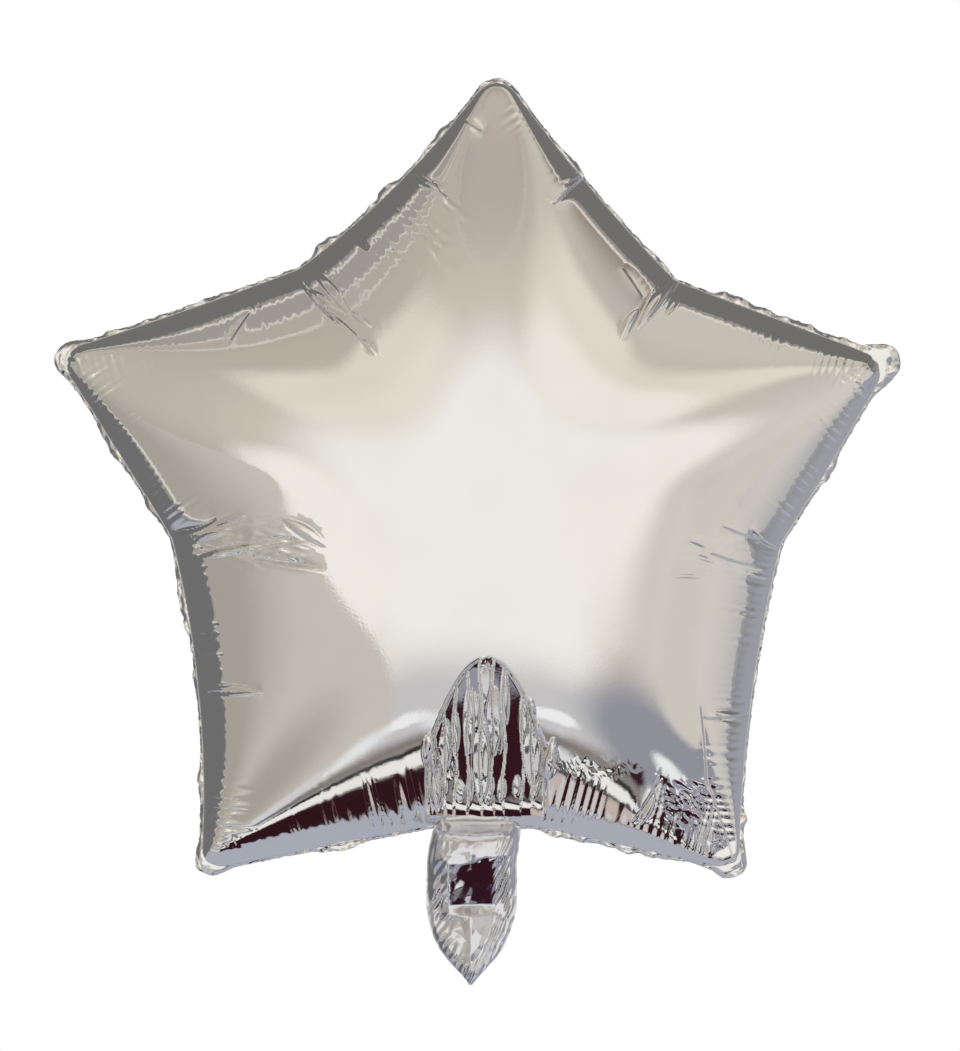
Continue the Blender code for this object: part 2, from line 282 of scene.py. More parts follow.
def bezier(first, control, last, shares):
    """Points of a quadratic curve at the given shares of its way."""
    t = shares[:, None]
    return (1 - t) ** 2 * first + 2 * t * (1 - t) * control + t * t * last


def star_lines():
    """The outline as a list of point runs: each corner's arc, then the edge that follows it."""
    sharp = [np.array(corner[1:3]) for corner in CORNERS]
    count = len(sharp)
    controls = []
    for index, here in enumerate(sharp):
        there = sharp[(index + 1) % count]
        along = there - here
        outwards = np.array((-along[1], along[0])) / np.hypot(*along)
        controls.append((here + there) / 2 - outwards * 2 * CORNERS[index][4])
    arcs = []
    trims = []
    for index, here in enumerate(sharp):
        back = controls[index - 1] - here
        ahead = controls[index] - here
        back = back / np.hypot(*back)
        ahead = ahead / np.hypot(*ahead)
        half = math.acos(back @ ahead) / 2
        radius = CORNERS[index][3]
        middle = back + ahead
        centre = here + middle / np.hypot(*middle) * radius / math.sin(half)
        trim = radius / math.tan(half)
        first = here + back * trim - centre
        last = here + ahead * trim - centre
        turn = math.atan2(*last[::-1]) - math.atan2(*first[::-1])
        turn = (turn + math.pi) % (2 * math.pi) - math.pi
        steps = max(3, int(abs(turn) * radius / RIM_STEP))
        angles = math.atan2(*first[::-1]) + turn * np.arange(steps + 1) / steps
        arcs.append(centre + radius * np.stack([np.cos(angles), np.sin(angles)], 1))
        trims.append(trim)
    lines = []
    for index, here in enumerate(sharp):
        following = (index + 1) % count
        length = np.hypot(*(sharp[following] - here))
        first = trims[index] / length
        last = 1 - trims[following] / length
        steps = int(length * (last - first) / RIM_STEP)
        shares = np.linspace(first, last, steps + 1)
        lines.append((index, arcs[index], bezier(here, controls[index], sharp[following], shares)))
    return lines


def even_points(points, step):
    """A closed line through the points, cut into even steps."""
    closed = np.vstack([points, points[:1]])
    lengths = np.hypot(*np.diff(closed, axis=0).T)
    places = np.concatenate([[0.0], np.cumsum(lengths)])
    count = int(round(places[-1] / step))
    wanted = np.arange(count) * places[-1] / count
    return np.stack([np.interp(wanted, places, closed[:, axis]) for axis in (0, 1)], 1)


def line_distance(line, points):
    """Distance from each point to a line, and how far along the line its nearest place is."""
    nearest = np.full(len(points), 1e9)
    along = np.zeros(len(points))
    passed = 0.0
    for first, last in zip(line[:-1], line[1:]):
        run = last - first
        length = np.hypot(*run)
        share = np.clip(((points - first) @ run) / length ** 2, 0, 1)
        away = points - first - share[:, None] * run
        squared = away[:, 0] ** 2 + away[:, 1] ** 2
        closer = squared < nearest
        nearest[closer] = squared[closer]
        along[closer] = passed + share[closer] * length
        passed += length
    return np.sqrt(nearest), along


def inside(ring, points):
    """Which points lie inside a closed ring, by counting the sides that a ray crosses."""
    hit = np.zeros(len(points), bool)
    x, z = points.T
    for (x0, z0), (x1, z1) in zip(ring, np.roll(ring, -1, axis=0)):
        crosses = (z0 > z) != (z1 > z)
        hit ^= crosses & (x < (x1 - x0) * (z - z0) / (z1 - z0 + 1e-12) + x0)
    return hit


GRID_ACROSS = (-0.25, 0.25)
GRID_UPWARDS = (-0.22, 0.26)


def hex_grid(step):
    """Points an even step apart, in offset rows over the whole star."""
    across = np.arange(*GRID_ACROSS, step)
    upwards = np.arange(*GRID_UPWARDS, step * math.sqrt(3) / 2)
    x, z = np.meshgrid(across, upwards)
    x = x + (np.arange(len(upwards)) % 2)[:, None] * step / 2
    return np.stack([x.ravel(), z.ravel()], 1)


lines = star_lines()
outline = np.vstack([np.vstack([arc[:-1], edge[:-1]]) for _, arc, edge in lines])
# The five sides, each from the middle of one tip round through the valley to the next tip.
tips = [index for index, corner in enumerate(CORNERS) if corner[5] == "tip"]
sides = []
for tip, next_tip in zip(tips, tips[1:] + [tips[0] + len(CORNERS)]):
    first_arc = lines[tip][1]
    last_arc = lines[next_tip % len(CORNERS)][1]
    run = [first_arc[len(first_arc) // 2:-1]]
    for index in range(tip, next_tip):
        _, arc, edge = lines[index % len(CORNERS)]
        if index > tip:
            run.append(arc[:-1])
        run.append(edge[:-1])
    run.append(last_arc[:len(last_arc) // 2 + 1])
    sides.append(np.vstack(run)[::3])


# Inflated height: each side swells from the seam like a tube, steeper than 45 degrees up to
# SWELL_REACH. The middle is a shallow cap, and every arm has a flat back that slopes from the cap
# down to its tip. Where these meet, the lower one wins softly.
SWELL_REACH = 0.0100
# How fast each side flattens away from the seam: the sides at the right of the top tip, at the
# right of the star, below it, at its left and at the left of the top tip.
SIDE_POWERS = (0.55, 0.55, 0.70, 0.55, 0.55)
SOFT_POWER = 13.0
LEAST_DEPTH = 1e-5
CAP_HEIGHT = 0.0670
CAP_FALL = 0.95
CAP_LEAST = 0.02
CROWN_REACH = 0.060
ARM_LEAST = 0.010
# Columns: arm, column and row where its back leaves the cap, column and row it runs towards,
# height where it leaves, slope at both ends, how much steeper it is half way, crown across it.
ARMS = [
    ("top arm", 489, 370, 497, 85, 0.0600, 0.29, 0.07, 1.6),
    ("right arm", 640, 455, 890, 361, 0.0600, 0.30, 0.06, 1.6),
    ("lower right arm", 590, 655, 740, 872, 0.0600, 0.26, 0.22, 3.4),
    ("lower left arm", 385, 640, 205, 872, 0.0600, 0.27, 0.06, 3.4),
    ("left arm", 325, 455, 62, 352, 0.0600, 0.30, 0.06, 1.6),
]


def swell(points):
    """Height of the plain inflated panel over the seam plane."""
    total = np.zeros(len(points))
    for side, power in zip(sides, SIDE_POWERS):
        depth = np.maximum(line_distance(side, points)[0], LEAST_DEPTH)
        height = SWELL_REACH / power * (depth / SWELL_REACH) ** power
        total += height ** -SOFT_POWER
    cap = CAP_HEIGHT - CAP_FALL * (points ** 2).sum(axis=1)
    total += cap.clip(CAP_LEAST) ** -SOFT_POWER
    for _, column, row, tip_column, tip_row, height, slope, belly, crown in ARMS:
        root = at_pixel(column, row)
        run = at_pixel(tip_column, tip_row) - root
        length = np.hypot(*run)
        run = run / length
        along = (points - root) @ run
        aside = ((points - root) @ np.array((-run[1], run[0])) / CROWN_REACH) ** 2
        fall = crown * CROWN_REACH ** 2 * aside / (1 + aside)
        turn = math.pi * np.clip(along / length, 0, 1)
        drop = slope * along + belly * length / math.pi * (1 - np.cos(turn))
        total += np.maximum(height - drop - fall, ARM_LEAST) ** -SOFT_POWER
    return total ** (-1 / SOFT_POWER)


SEAM_TUCK = 0.0018
TUCK_HEIGHT = 0.015


def tuck(places, heights):
    """Pulls the lowest film in to the seam, so that the panel bulges past it."""
    share = SEAM_TUCK * np.clip(1 - heights / TUCK_HEIGHT, 0, 1) ** 2
    reach = np.hypot(*places.T)
    return places * (1 - share / reach)[:, None]


def vertex_normals(points, faces):
    """Unit normals at the points of a triangle mesh, weighted by the areas of its faces."""
    corners = points[faces]
    face_normals = np.cross(corners[:, 1] - corners[:, 0], corners[:, 2] - corners[:, 0])
    normals = np.zeros_like(points)
    for column in range(3):
        np.add.at(normals, faces[:, column], face_normals)
    return normals / np.linalg.norm(normals, axis=1)[:, None]


# Puckers: the seal gathers the film into rounded pleats with sharp grooves between them.
# Columns: corner that the edge starts from, pleat pitch, depth, reach inwards from the seal, how
# far from it the pleats are full, and the share of the edge that they run along.
PUCKERS = [
    ("top tip", 0.0042, 0.00050, 0.022, 0.010, 1.0),
    ("upper right valley", 0.0040, 0.00120, 0.030, 0.010, 1.0),
    ("right tip", 0.0044, 0.00160, 0.030, 0.010, 1.0),
    ("right valley", 0.0042, 0.00190, 0.032, 0.010, 1.0),
    ("lower right tip", 0.0048, 0.00170, 0.056, 0.010, 1.0),
    ("neck right", 0.0060, 0.00030, 0.014, 0.010, 1.0),
    ("neck left", 0.0054, 0.00140, 0.046, 0.010, 1.0),
    ("lower left tip", 0.0048, 0.00160, 0.032, 0.010, 1.0),
    ("left valley", 0.0040, 0.00175, 0.030, 0.010, 1.0),
    ("left tip", 0.0040, 0.00075, 0.036, 0.014, 1.0),
    ("upper left valley", 0.0043, 0.00160, 0.075, 0.026, 0.62),
]
PUCKER_END_FADE = 0.008
PUCKER_START = 0.0015
# A pleat is a rounded ridge: a sine to the power of its sharpness, less a share for the groove.
PLEAT_SHARPNESS = 0.8
PLEAT_GROOVE = 0.6
# How unevenly the pleats are spaced, and over what length.
PLEAT_WANDER = 2.2
WANDER_SIZE = 0.012
# How unevenly deep they are, and over what length, and how unevenly long, and over how many
# pleats. Columns of both: middle, swing, least, most.
PATCH_SIZE = 0.030
PATCH_DEPTHS = (0.8, 1.1, 0.15, 1.6)
LENGTH_PLEATS = 1.6
PLEAT_LENGTHS = (0.75, 0.9, 0.4, 1.0)
PLEAT_FADE = 1.2


def ease(values, low, high):
    """0 below low and 1 above high, with a soft change between them."""
    share = np.clip((values - low) / (high - low), 0, 1)
    return share * share * (3 - 2 * share)


def smooth_noise(values, size, seed):
    """Even noise along a line, from -1 to 1, with swells of about the given size."""
    return np.array([noise.noise((value / size, seed, 0.5)) for value in values])


def uneven_shares(swings, middle, swing, least, most):
    """Shares that vary round a middle value with the noise, between a least and a most."""
    return np.clip(middle + swing * swings, least, most)


def puckers(places, depths, seed):
    """Heights of the pleats along the seam, as they stand over the plain panel."""
    total = np.zeros(len(places))
    for index, (_, pitch, depth, reach, full, share) in enumerate(PUCKERS):
        edge = lines[index][2][::3]
        near = np.nonzero(depths < reach + 0.01)[0]
        away, along = line_distance(edge, places[near])
        keep = away < reach
        near = near[keep]
        away = away[keep]
        along = along[keep]
        length = share * np.hypot(*np.diff(edge, axis=0).T).sum()
        ends = np.clip(np.minimum(along, length - along) / PUCKER_END_FADE, 0, 1)
        wander = smooth_noise(along, WANDER_SIZE, seed + index)
        pleat = np.abs(np.sin(math.pi * along / pitch + PLEAT_WANDER * wander))
        pleat = pleat ** PLEAT_SHARPNESS - PLEAT_GROOVE
        patch = uneven_shares(smooth_noise(along, PATCH_SIZE, seed + 20 + index), *PATCH_DEPTHS)
        swings = smooth_noise(along, pitch * LENGTH_PLEATS, seed + 40 + index)
        length_share = uneven_shares(swings, *PLEAT_LENGTHS)
        rise = ease(away, PUCKER_START, full)
        fade = np.clip(1 - away / (reach * length_share), 0, 1) ** PLEAT_FADE
        total[near] += depth * patch * pleat * ends * rise * fade
    return total


# Folds that fan out of the valleys and pinches that run in from the seal, placed by the pixels
# where the picture shows them. Columns: kind, first end column and row, second end column and
# row, half width, height, sideways bow. A lens is a spindle-shaped roll with a groove round it,
# and a lip is a fold whose one side stands over the other.
FOLDS = [
    ("lip", 294, 273, 338, 325, 0.0030, 0.0022, -0.0010),
    ("lip", 325, 308, 369, 348, 0.0026, 0.0010, 0.0008),
    ("lens", 313, 271, 352, 317, 0.0030, 0.0008, 0.0010),
    ("lens", 304, 289, 330, 303, 0.0022, 0.0008, 0.0004),
    ("lens", 350, 312, 371, 327, 0.0022, 0.0006, 0.0004),
    ("lens", 362, 338, 377, 356, 0.0024, 0.0007, 0.0003),
    ("lip", 411, 172, 450, 200, 0.0026, 0.0018, 0.0010),
    ("lens", 415, 182, 446, 190, 0.0022, 0.0010, 0.0005),
    ("lip", 459, 119, 484, 134, 0.0022, 0.0013, 0.0005),
    ("lip", 341, 233, 367, 252, 0.0024, 0.0011, 0.0005),
    ("lip", 592, 166, 552, 204, 0.0026, 0.0018, 0.0008),
    ("lens", 583, 172, 560, 183, 0.0022, 0.0011, 0.0004),
    ("lens", 677, 278, 638, 329, 0.0034, 0.0015, -0.0014),
    ("lip", 683, 276, 670, 295, 0.0018, 0.0017, 0.0004),
    ("lens", 639, 308, 621, 341, 0.0030, 0.0011, -0.0010),
    ("lens", 680, 291, 665, 316, 0.0022, 0.0010, 0.0004),
    ("lip", 622, 267, 643, 298, 0.0022, 0.0010, 0.0004),
    ("lip", 163, 534, 217, 521, 0.0030, 0.0025, -0.0022),
    ("lip", 192, 556, 268, 542, 0.0026, 0.0013, 0.0004),
    ("lens", 200, 558, 252, 547, 0.0024, 0.0008, 0.0004),
    ("lip", 250, 554, 310, 541, 0.0026, 0.0008, 0.0006),
    ("lens", 214, 525, 246, 516, 0.0022, 0.0008, 0.0003),
    ("lens", 193, 537, 226, 534, 0.0020, 0.0008, 0.0002),
    ("lip", 262, 562, 326, 572, 0.0030, 0.0007, 0.0004),
    ("lip", 204, 531, 242, 518, 0.0020, 0.0011, 0.0004),
    ("lens", 196, 540, 224, 533, 0.0018, 0.0008, 0.0002),
    ("lip", 236, 557, 322, 569, 0.0026, 0.0011, 0.0004),
    ("lens", 283, 519, 326, 546, 0.0034, 0.0012, 0.0006),
    ("lip", 199, 697, 262, 692, 0.0026, 0.0018, 0.0006),
    ("lens", 204, 690, 262, 693, 0.0028, 0.0013, 0.0003),
    ("lip", 786, 551, 750, 529, 0.0030, 0.0025, 0.0020),
    ("lens", 684, 537, 730, 550, 0.0032, 0.0003, 0.0003),
    ("lip", 764, 541, 720, 526, 0.0024, 0.0011, 0.0004),
    ("lip", 763, 569, 709, 553, 0.0026, 0.0013, 0.0004),
    ("lip", 690, 556, 722, 566, 0.0022, 0.0004, 0.0002),
    ("lip", 669, 578, 706, 579, 0.0022, 0.0006, 0.0003),
    ("lip", 774, 580, 748, 575, 0.0022, 0.0013, 0.0002),
    ("lip", 753, 712, 702, 719, 0.0026, 0.0017, 0.0005),
    ("lens", 750, 718, 712, 712, 0.0024, 0.0011, 0.0003),
    ("lip", 228, 345, 250, 312, 0.0018, 0.0006, 0.0003),
    ("lip", 700, 702, 707, 792, 0.0024, 0.0011, 0.0006),
    ("lip", 706, 778, 735, 866, 0.0024, 0.0012, 0.0006),
    ("lip", 660, 776, 632, 823, 0.0028, 0.0022, 0.0010),
    ("lens", 655, 790, 640, 825, 0.0026, 0.0014, 0.0005),
    ("lens", 427, 736, 434, 776, 0.0034, 0.0025, 0.0004),
    ("lens", 430, 765, 438, 812, 0.0034, 0.0025, 0.0003),
    ("lens", 552, 742, 545, 781, 0.0034, 0.0025, 0.0004),
]
# Patches where the film is crushed into long thin creases. Columns: column, row, reach in pixels
# across and down, height, width of a crease, angle that the creases run at, down to the right.
CRUSHED = [
    (684, 806, 36, 30, 0.00034, 0.0021, 38),
    (716, 838, 16, 30, 0.00030, 0.0021, 58),
    (600, 768, 48, 12, 0.00014, 0.0021, 70),
    (250, 545, 74, 30, 0.00034, 0.0040, 8),
    (730, 556, 56, 30, 0.00016, 0.0036, 12),
    (72, 360, 16, 26, 0.00050, 0.0030, 40),
    (866, 380, 16, 22, 0.00050, 0.0030, -40),
]
CREASE_STRETCH = 4.0
# Upright folds where the film gathers over the neck. Columns: column at the top, column at the
# foot, top row, bottom row, half width.
THROAT_FOLDS = [
    (430, 430, 733, 771, 0.0033),
    (436, 434, 756, 811, 0.0036),
    (446, 444, 720, 777, 0.0030),
    (455, 454, 711, 759, 0.0022),
    (469, 468, 685, 757, 0.0028),
    (476, 475, 690, 735, 0.0020),
    (482, 481, 716, 804, 0.0045),
    (486, 485, 660, 705, 0.0027),
    (494, 493, 684, 759, 0.0036),
    (504, 505, 668, 728, 0.0021),
    (500, 499, 706, 757, 0.0018),
    (524, 523, 692, 741, 0.0023),
    (530, 532, 698, 728, 0.0018),
    (534, 532, 717, 788, 0.0046),
    (542, 532, 760, 801, 0.0022),
    (553, 546, 738, 782, 0.0031),
    (453, 452, 764, 780, 0.0014),
    (470, 469, 770, 807, 0.0016),
    (490, 488, 773, 806, 0.0023),
    (502, 501, 777, 803, 0.0021),
    (517, 516, 776, 798, 0.0020),
    (444, 443, 778, 799, 0.0018),
    (459, 460, 781, 802, 0.0028),
]
THROAT_FOLD_RISE = 0.62
# The throat itself: below its crown the film is drawn in between two walls, deeper and deeper
# down to the root of the neck, and its floor is gathered into pleats that lean to the right.
THROAT_CROWN = (487, 657)
THROAT_HALF_WIDTH = 0.0312
THROAT_FULL = 0.050
THROAT_WALL = 0.0022
THROAT_STEP = 0.0012
THROAT_TOP = 0.005
THROAT_SLOPE = 0.24
THROAT_DEEPEST = 0.0078
# Distances from the seam where the throat begins and where it is full.
THROAT_END = (0.003, 0.036)
PLEAT_COLUMNS = (420, 430, 445, 455, 468, 481, 493, 504, 523, 533, 545, 556)
PLEAT_ROW = 740
PLEAT_SLOPE = 0.20
PLEAT_SWAY = 0.0007
SWAY_LENGTHS = (0.0071, 0.0052)


def on_panel(columns, rows):
    """Where the picture's pixels meet the inflated panel, as x and z."""
    seam = np.stack([np.asarray(columns) - STAR_COLUMN, STAR_ROW - np.asarray(rows)], 1) * PIXEL
    found = seam
    for _ in range(3):
        nearer = swell(found) / CAMERA_DISTANCE
        found = aim + (seam - aim) * (1 - nearer)[:, None]
    return found


# Cross sections of the folds, in shares of their half width and of their height. A lens has a
# groove of this depth and width at both sides. A lip falls from its top to its foot in a narrow
# edge, and fades out away from it. A blade is a table of places across it and heights there.
LENS_GROOVE = (0.30, 0.22)
LIP_EDGE = 0.28
LIP_ENDS = (0.45, -1.0)
LIP_FADE = 1.15
BLADE_PROFILE = ((-1.15, -1.0, -0.85, 0.05, 0.15, 0.25, 0.70, 0.82, 1.0),
                 (0.0, -0.12, 0.0, 0.62, 0.58, 0.66, 1.0, 0.92, 0.0))
# How round a lens is, and how the folds thin out and sink towards their ends, as powers.
SPINDLE_POWER = 0.6
SPINDLE_LEAST = 0.05
LENS_ROUND = 1.1
LENS_POWER = 0.7
LIP_POWER = 0.8


def fold(places, first, last, half_width, height, bow, kind):
    """What one fold adds to the height of each point."""
    run = last - first
    length = np.hypot(*run)
    run = run / length
    aside = np.array((-run[1], run[0]))
    offset = places - first
    share = offset @ run / length
    added = np.zeros(len(places))
    near = (share > 0) & (share < 1) & (np.abs(offset @ aside) < 4 * half_width + abs(bow))
    share = share[near]
    spindle = np.sin(math.pi * share)
    across = (offset[near] @ aside - bow * spindle) / half_width
    if kind == "lip":
        over = np.interp(across, (-LIP_EDGE, LIP_EDGE), LIP_ENDS)
        over = over * np.exp(-np.clip(np.abs(across) - LIP_EDGE, 0, None) * LIP_FADE)
        added[near] = height * spindle ** LIP_POWER * over
        return added
    across = across / np.maximum(spindle ** SPINDLE_POWER, SPINDLE_LEAST)
    if kind == "lens":
        groove_depth, groove_width = LENS_GROOVE
        roll = np.clip(1 - across ** 2, 0, 1) ** LENS_ROUND
        groove = np.exp(-((np.abs(across) - 1.0) / groove_width) ** 2)
        added[near] = height * spindle ** LENS_POWER * (roll - groove_depth * groove)
    else:
        added[near] = height * spindle ** SPINDLE_POWER * np.interp(across, *BLADE_PROFILE)
    return added


fold_ends = np.array([row[1:5] for row in FOLDS], float)
fold_firsts = on_panel(fold_ends[:, 0], fold_ends[:, 1])
fold_lasts = on_panel(fold_ends[:, 2], fold_ends[:, 3])
throat_rows = np.array(THROAT_FOLDS)
throat_tops = on_panel(throat_rows[:, 0], throat_rows[:, 2])
throat_feet = on_panel(throat_rows[:, 1], throat_rows[:, 3])
throat_crown = on_panel([THROAT_CROWN[0]], [THROAT_CROWN[1]])[0]
crushed_spots = [on_panel([row[0]], [row[1]])[0] for row in CRUSHED]
pleat_starts = np.array([on_panel([column], [PLEAT_ROW])[0][0] for column in PLEAT_COLUMNS])


def throat_room(places):
    """How far inside the walls of the throat each point lies, and how far below its crown."""
    below = throat_crown[1] - places[:, 1]
    width = THROAT_HALF_WIDTH * np.clip(below / THROAT_FULL, 0, 1) ** 0.5
    return width - np.abs(places[:, 0] - throat_crown[0]), below


def throat(places, depths):
    """What the throat takes from the height of each point, and what its pleats add."""
    room, below = throat_room(places)
    drawn = 1 - np.exp(-THROAT_SLOPE * np.clip(below, 0, None) / THROAT_DEEPEST)
    depth = THROAT_STEP * ease(below, 0.0, THROAT_TOP) + THROAT_DEEPEST * drawn
    down_length, across_length = SWAY_LENGTHS
    sway = np.sin(places[:, 1] / down_length + places[:, 0] / across_length)
    x = places[:, 0] + PLEAT_SWAY * sway
    pleat = np.searchsorted(pleat_starts, x).clip(1, len(pleat_starts) - 1)
    middle = (pleat_starts[pleat - 1] + pleat_starts[pleat]) / 2
    depth += PLEAT_SLOPE * (x - middle)
    return -depth * ease(room, 0.0, THROAT_WALL) * ease(depths, *THROAT_END)


def crushed(places):
    """Thin creases pressed into the film, as heights over the panel."""
    total = np.zeros(len(places))
    for (column, row, across, down, height, size, angle), spot in zip(CRUSHED, crushed_spots):
        away = np.hypot(*((places - spot) / (across * PIXEL, down * PIXEL)).T)
        turn = math.radians(-angle)
        along = np.array((math.cos(turn), math.sin(turn))) / (CREASE_STRETCH * size)
        aside = np.array((-math.sin(turn), math.cos(turn))) / size
        for index in np.nonzero(away < 1)[0]:
            u = places[index] @ along
            v = places[index] @ aside
            broad = abs(noise.noise((u, v, row)))
            thin = abs(noise.noise((2 * u, 2 * v, column)))
            total[index] += height * (1 - away[index] ** 2) * (1 - 3 * broad - 1.5 * thin)
    return total


# Spacing of the panel's points: at the folds, along the seam and in the middle. Each layer from
# the seam inwards is coarser than the one before it.
FOLD_STEP = 0.00075
FINE_STEP = 0.0012
COARSE_STEP = 0.0045
FINE_ZONE = 0.036
STEP_GROWTH = 1.6
LAYER_STEPS = 5
LAYER_GAP = 0.35
RIM_GAP = 0.7
# How far round the folds and the throat the finest points reach.
FOLD_MARGIN = 0.0048
THROAT_MARGIN = 0.0040


def near_folds(points):
    """Which points lie close enough to a fold, the throat or a crushed patch to need fine film."""
    room, below = throat_room(points)
    close = (room > -THROAT_MARGIN) & (below > -THROAT_MARGIN)
    for row, spot in zip(CRUSHED, crushed_spots):
        close |= np.hypot(*((points - spot) / (row[2] * PIXEL, row[3] * PIXEL)).T) < 1
    firsts = np.vstack([fold_firsts, throat_tops])
    lasts = np.vstack([fold_lasts, throat_feet])
    for first, last in zip(firsts, lasts):
        close |= line_distance(np.stack([first, last]), points)[0] < FOLD_MARGIN
    return close


def star_mesh(fine, coarse):
    """Flat triangulation of the star: finest at the folds, fine along its edge and coarser in
    its middle."""
    ring = even_points(outline, fine)
    closed = np.vstack([ring, ring[:1]])[::2]
    layers = [ring]
    grid = hex_grid(FOLD_STEP)
    grid = grid[near_folds(grid)]
    grid = grid[inside(ring, grid)]
    layers.append(grid[line_distance(closed, grid)[0] > RIM_GAP * FOLD_STEP])
    low = RIM_GAP * fine
    step = fine
    high = FINE_ZONE
    while True:
        grid = hex_grid(step)
        grid = grid[inside(ring, grid)]
        away = line_distance(closed, grid)[0]
        grid = grid[(away > low) & (away < high)]
        layers.append(grid[~near_folds(grid)])
        if step >= coarse:
            break
        step = min(coarse, step * STEP_GROWTH)
        low = high + LAYER_GAP * step
        high = high + LAYER_STEPS * step if step < coarse else 1.0
    points = [Vector(point) for point in np.vstack(layers)]
    count = len(ring)
    bounds = [(index, (index + 1) % count) for index in range(count)]
    places, _, faces, *_ = delaunay_2d_cdt(points, bounds, [], 1, 1e-7)
    places = np.array([(place.x, place.y) for place in places])
    faces = np.array([face for face in faces if len(face) == 3])
    corners = places[faces]
    run = corners[:, 1] - corners[:, 0]
    rise = corners[:, 2] - corners[:, 0]
    flipped = run[:, 0] * rise[:, 1] - run[:, 1] * rise[:, 0] < 0
    faces[flipped] = faces[flipped][:, ::-1]
    return places, faces, count


# The detail fades out over the last stretch before the weld.
DETAIL_FADE = 0.003
FRONT_SEED = 1.0


def panel_points(mesh, side, detail_of):
    """Points of one panel. The side is -1 for the front one and 1 for the back one."""
    places, faces, rim_count = mesh
    rim = np.vstack([places[:rim_count], places[:1]])
    depths = line_distance(rim[::2], places)[0]
    heights = swell(places)
    heights[:rim_count] = 0.0
    heights = heights + throat(places, depths)
    drawn = tuck(places, heights)
    points = np.stack([drawn[:, 0], side * heights, drawn[:, 1]], 1)
    detail = detail_of(places, depths) * np.clip(depths / DETAIL_FADE, 0, 1)
    return points + vertex_normals(points, faces) * detail[:, None]


def folds(places, every):
    """Heights of the folds and of those in the throat: all, or every second one, and so on."""
    total = np.zeros(len(places))
    for row, first, last in list(zip(FOLDS, fold_firsts, fold_lasts))[::every]:
        total += fold(places, first, last, *row[5:8], row[0])
    for row, first, last in list(zip(THROAT_FOLDS, throat_tops, throat_feet))[::every]:
        total += fold(places, first, last, row[4], THROAT_FOLD_RISE * row[4], 0.0, "blade")
    return total


def front_detail(places, depths):
    """Heights of all that lies on the front film."""
    return puckers(places, depths, FRONT_SEED) + crushed(places) + folds(places, 1)


front_mesh = star_mesh(FINE_STEP, COARSE_STEP)
front = panel_points(front_mesh, -1, front_detail)

FOIL_TINT = (244, 243, 240)
# How much darker the film is where it is rubbed.
RUB_SHADE = 7
RUB_SCALE = 26.0
GRAIN_SCALE = 640.0


def add_node(tree, kind, settings):
    """A shader node of one kind, with some of its inputs set."""
    node = tree.nodes.new("ShaderNode" + kind)
    for name, value in settings.items():
        node.inputs[name].default_value = value
    return node


def foil(name, tint, roughness):
    """Bright metallised film, with cloudy rub marks in its gloss and a faint grain."""
    material = bpy.data.materials.new(name)
    material.use_nodes = True
    tree = material.node_tree
    shader = tree.nodes["Principled BSDF"]
    shader.inputs["Metallic"].default_value = 1.0
    coordinates = tree.nodes.new("ShaderNodeTexCoord")
    rubs = add_node(tree, "TexNoise", {"Scale": RUB_SCALE, "Detail": 5.0})
    grain = add_node(tree, "TexNoise", {"Scale": GRAIN_SCALE, "Detail": 2.0})
    for texture in (rubs, grain):
        tree.links.new(coordinates.outputs["Object"], texture.inputs["Vector"])
    gloss = add_node(tree, "MapRange", {"From Min": 0.35, "From Max": 0.75,
                                        "To Min": roughness * 0.6, "To Max": roughness * 2.0})
    tree.links.new(rubs.outputs["Fac"], gloss.inputs["Value"])
    tree.links.new(gloss.outputs["Result"], shader.inputs["Roughness"])
    colour = tree.nodes.new("ShaderNodeMix")
    colour.data_type = "RGBA"
    colour.inputs["A"].default_value = (*linear(tint), 1.0)
    colour.inputs["B"].default_value = (*linear([value - RUB_SHADE for value in tint]), 1.0)
    tree.links.new(rubs.outputs["Fac"], colour.inputs["Factor"])
    tree.links.new(colour.outputs["Result"], shader.inputs["Base Color"])
    bump = add_node(tree, "Bump", {"Strength": 0.05, "Distance": 0.0002})
    tree.links.new(grain.outputs["Fac"], bump.inputs["Height"])
    tree.links.new(bump.outputs["Normal"], shader.inputs["Normal"])
    return material


def add_piece(name, points, faces, material):
    """A smooth piece made of the given points and faces, in the balloon's own frame."""
    mesh = bpy.data.meshes.new(name)
    mesh.from_pydata(points.tolist(), [], faces.tolist())
    mesh.materials.append(material)
    mesh.shade_smooth()
    piece = bpy.data.objects.new(name, mesh)
    bpy.context.scene.collection.objects.link(piece)
    return piece


front_foil = foil("front foil", FOIL_TINT, 0.04)
front_panel = add_piece("front_star_panel", front, front_mesh[1], front_foil)
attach(front_panel, "envelope")
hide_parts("front_panel")


# Back panel: the twin of the front one, die-cut from the same film and sealed to it. It has its
# own pleats, every second fold of the front and no crushed patches, so it hangs smoother.
BACK_STEP = 0.0020
BACK_COARSE = 0.0050
BACK_SEED = 7.0


def back_detail(places, depths):
    """Heights of all that lies on the back film."""
    return puckers(places, depths, BACK_SEED) + folds(places, 2)


back_places, back_faces, back_rim = star_mesh(BACK_STEP, BACK_COARSE)
back_mesh = (back_places, back_faces[:, ::-1], back_rim)
back = panel_points(back_mesh, 1, back_detail)
back_foil = foil("back foil", FOIL_TINT, 0.06)
back_panel = add_piece("back_star_panel", back, back_mesh[1], back_foil)
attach(back_panel, "envelope")
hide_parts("back_panel")


# Sealed border: outside the weld the two films are pressed into one thin strip. It shrinks as
# it is sealed, so it crinkles, curls over and stands out unevenly past the swelling panels.
BORDER_STEP = 0.0011
BORDER_ROWS = 16
BORDER_NARROW = -0.0013
BORDER_WIDE = 0.0028
BORDER_WAVE = 0.0022
BORDER_CURL = 0.0026
BORDER_THICKNESS = 0.00025
